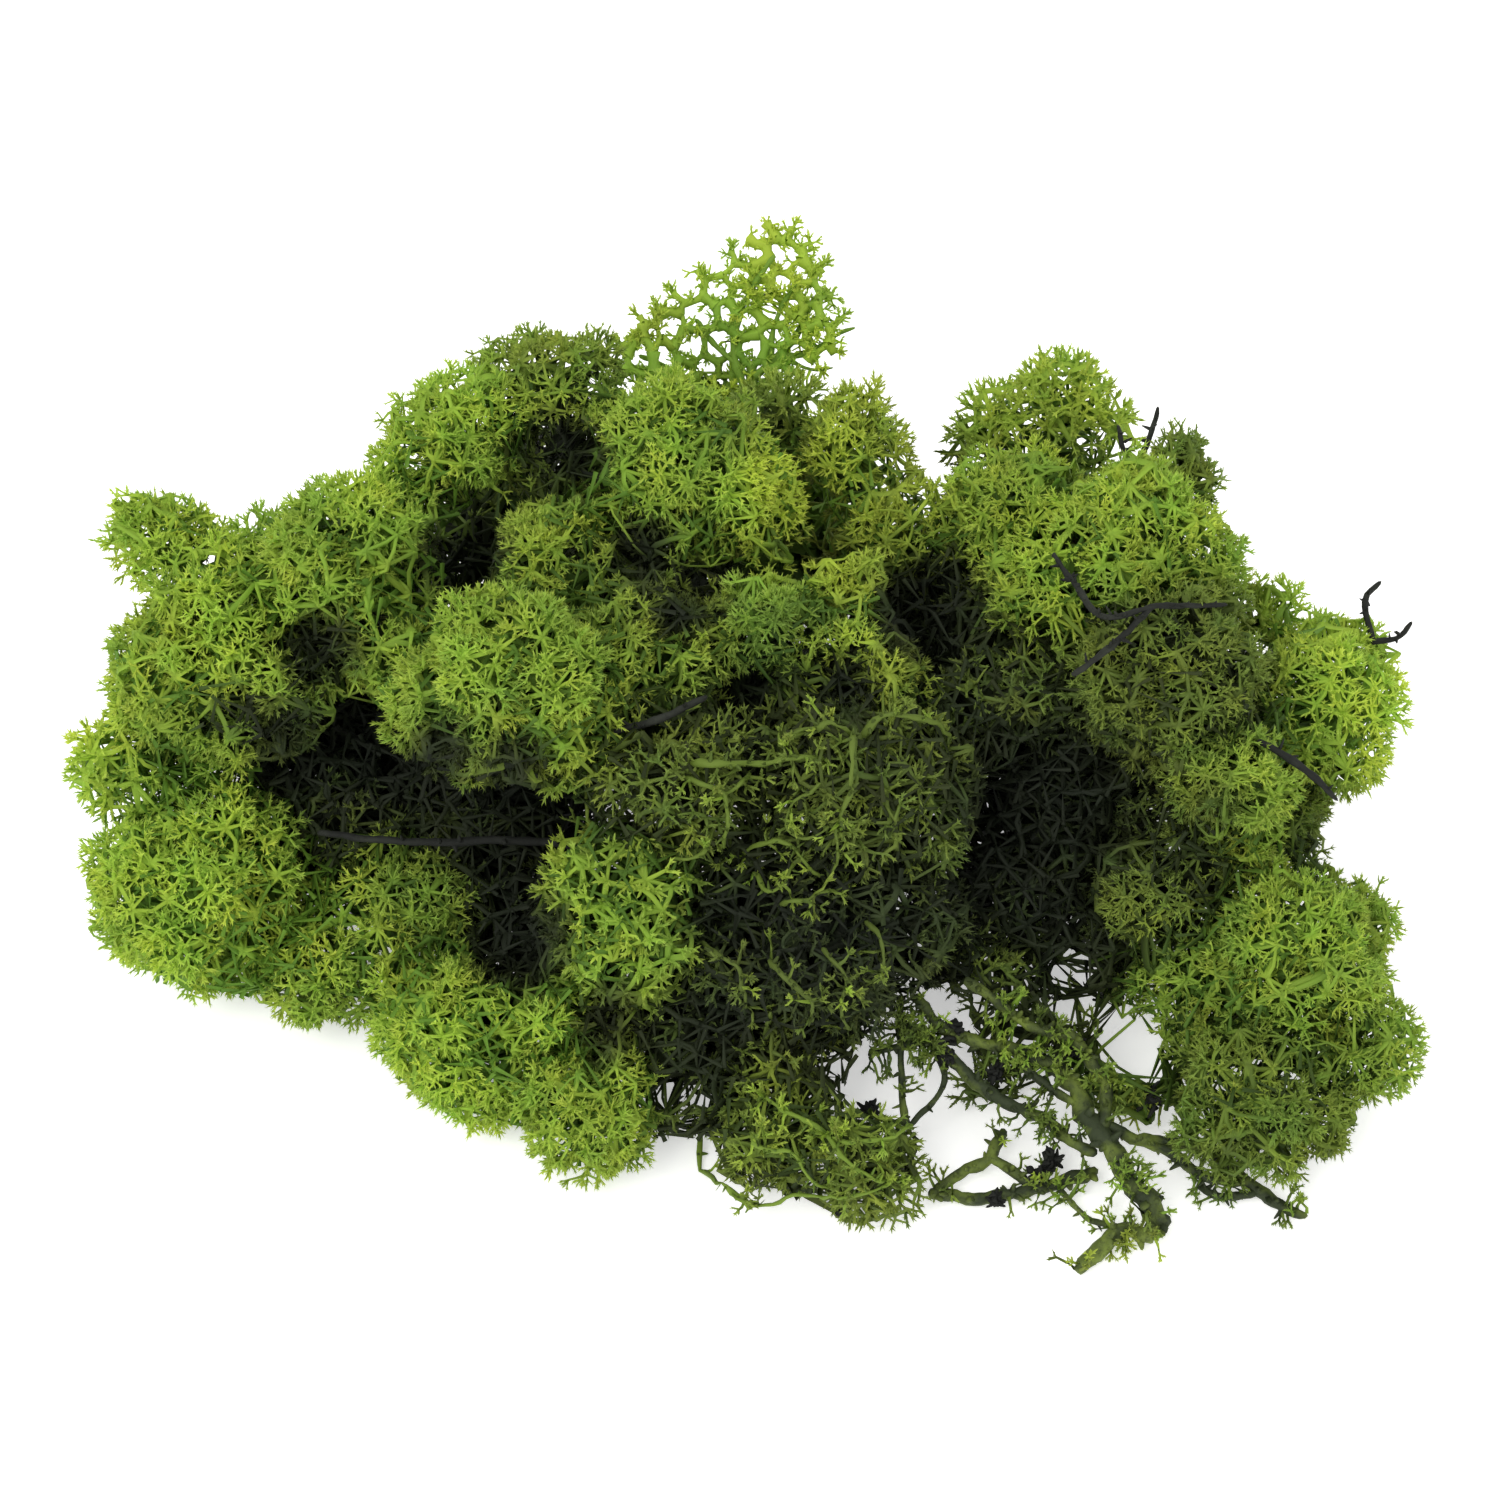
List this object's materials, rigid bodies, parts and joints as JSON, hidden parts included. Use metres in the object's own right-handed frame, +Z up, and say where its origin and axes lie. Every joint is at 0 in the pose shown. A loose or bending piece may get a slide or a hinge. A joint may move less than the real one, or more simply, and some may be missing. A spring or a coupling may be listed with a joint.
{
  "type": "reindeer moss clump",
  "caption": "Low mound of round, finely branching tufts of dyed preserved reindeer lichen, with bare old stems at its front edge and dead twigs caught in it.",
  "frame": {"origin": "on the table, under the middle of the clump's box", "axes": "+X along the clump's length to the right in the picture, +Y to its back, +Z up"},
  "size_m": [0.1358, 0.1078, 0.0526],
  "materials": {
    "lichen_bright": "matt, fine soft branchlets, dyed bright yellow green",
    "lichen_olive": "matt, fine branchlets, duller olive green",
    "lichen_dark": "matt, old branchlets, dark green to brown",
    "old_stem": "leathery bare stem, grey green with dark specks",
    "dead_twig": "dry twig, blackened by the dye"
  },
  "bodies": {
    "root": {"tuft_left_horn": "lichen_bright", "tuft_left_middle": "lichen_bright", "tuft_left_edge": "lichen_bright", "tuft_left_top": "lichen_bright", "tuft_left_low": "lichen_bright", "tuft_low_shaded": "lichen_olive", "tuft_low_middle": "lichen_bright", "tuft_low_right": "lichen_bright", "tuft_netted": "lichen_bright", "tuft_centre_front": "lichen_bright", "tuft_centre_right": "lichen_olive", "tuft_top_left": "lichen_bright", "tuft_top_shaded": "lichen_olive", "tuft_top_large": "lichen_bright", "tuft_bluish": "lichen_olive", "tuft_back_fan": "lichen_bright", "tuft_back_shaded": "lichen_dark", "tuft_back_yellow": "lichen_olive", "tuft_olive_small": "lichen_olive", "tuft_olive_left": "lichen_olive", "tuft_olive_right": "lichen_olive", "tuft_dark_front": "lichen_dark", "tuft_front_tangle": "lichen_olive", "tuft_middle_deep": "lichen_olive", "tuft_gap_right": "lichen_dark", "tuft_gap_middle": "lichen_dark", "tuft_gap_left": "lichen_dark", "tuft_gap_front": "lichen_dark", "tuft_net_left": "lichen_olive", "tuft_net_right": "lichen_bright", "tuft_right_back": "lichen_olive", "tuft_right_inner": "lichen_bright", "tuft_right_horn": "lichen_olive", "tuft_right_top": "lichen_bright", "tuft_right_middle": "lichen_olive", "tuft_right_edge": "lichen_bright", "tuft_right_low": "lichen_bright", "tuft_right_shaded": "lichen_dark", "tuft_corner": "lichen_bright", "tuft_corner_side": "lichen_bright", "tuft_corner_low": "lichen_bright", "tuft_under_left": "lichen_olive", "tuft_under_middle": "lichen_olive", "tuft_under_right": "lichen_olive", "tuft_rear_corner": "lichen_olive", "tuft_rear_left": "lichen_olive", "tuft_rear_middle": "lichen_olive", "tuft_rear_right": "lichen_olive", "tuft_side_right": "lichen_olive", "stem_hooked": "old_stem", "stem_left": "old_stem", "stem_forked": "old_stem", "stem_right": "old_stem", "twig_left_long": "dead_twig", "twig_centre": "dead_twig", "twig_bent": "dead_twig", "twig_right_low": "dead_twig", "twig_right_tip": "dead_twig", "twig_top": "dead_twig"}
  },
  "joints": []
}
